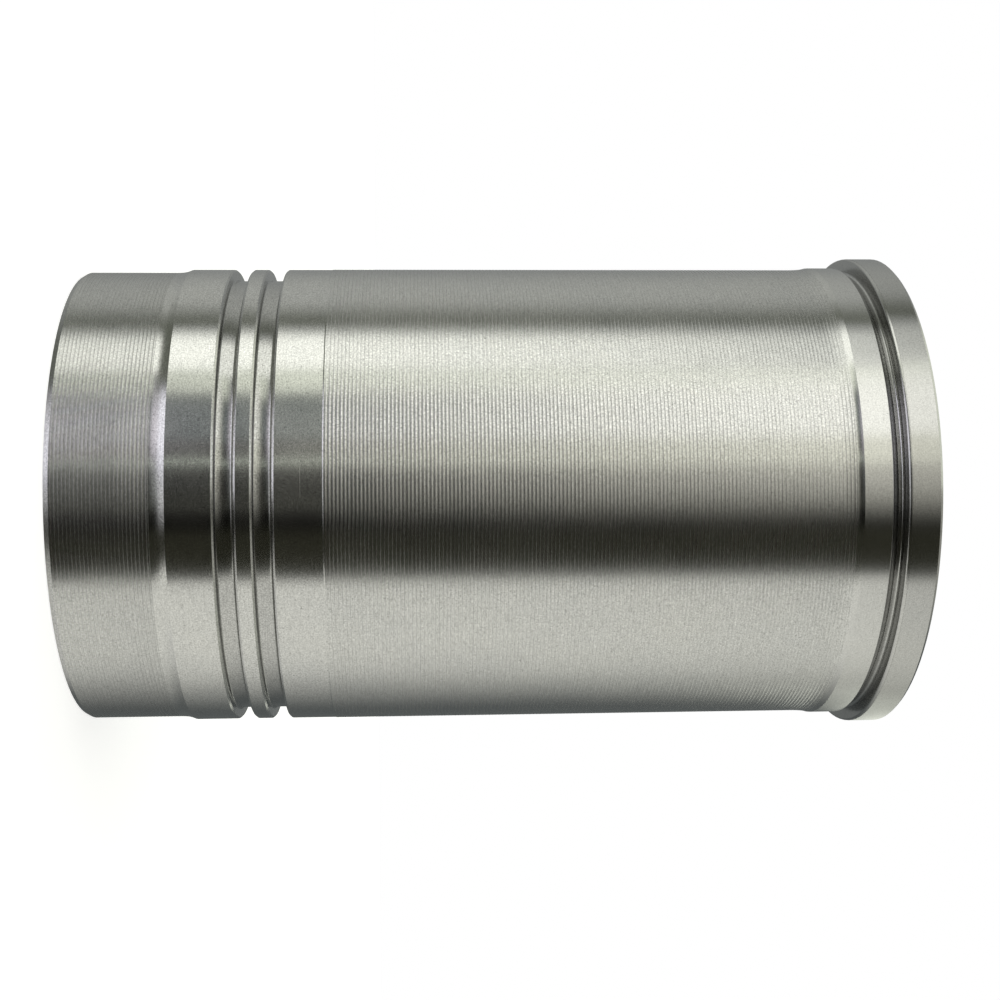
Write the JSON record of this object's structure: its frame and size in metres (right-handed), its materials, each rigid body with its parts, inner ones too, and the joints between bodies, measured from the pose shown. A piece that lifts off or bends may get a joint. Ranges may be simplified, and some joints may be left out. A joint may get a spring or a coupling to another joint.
{
  "type": "cylinder liner",
  "caption": "Wet cylinder liner for a heavy diesel engine: turned iron sleeve with a honed bore, a hanging flange, a pilot land and O-ring grooves above a relieved skirt.",
  "frame": {"origin": "on the bore axis, at the level of the skirt end that the liner stands on", "axes": "+Z along the bore axis from the skirt end to the flange; X and Y are equal, because the liner is round"},
  "size_m": [0.1364, 0.1364, 0.2265],
  "materials": {
    "machined_iron": "bright turned and ground iron outside, cross-hatched honing in the bore"
  },
  "bodies": {
    "root": {"liner": "machined_iron"}
  },
  "joints": []
}
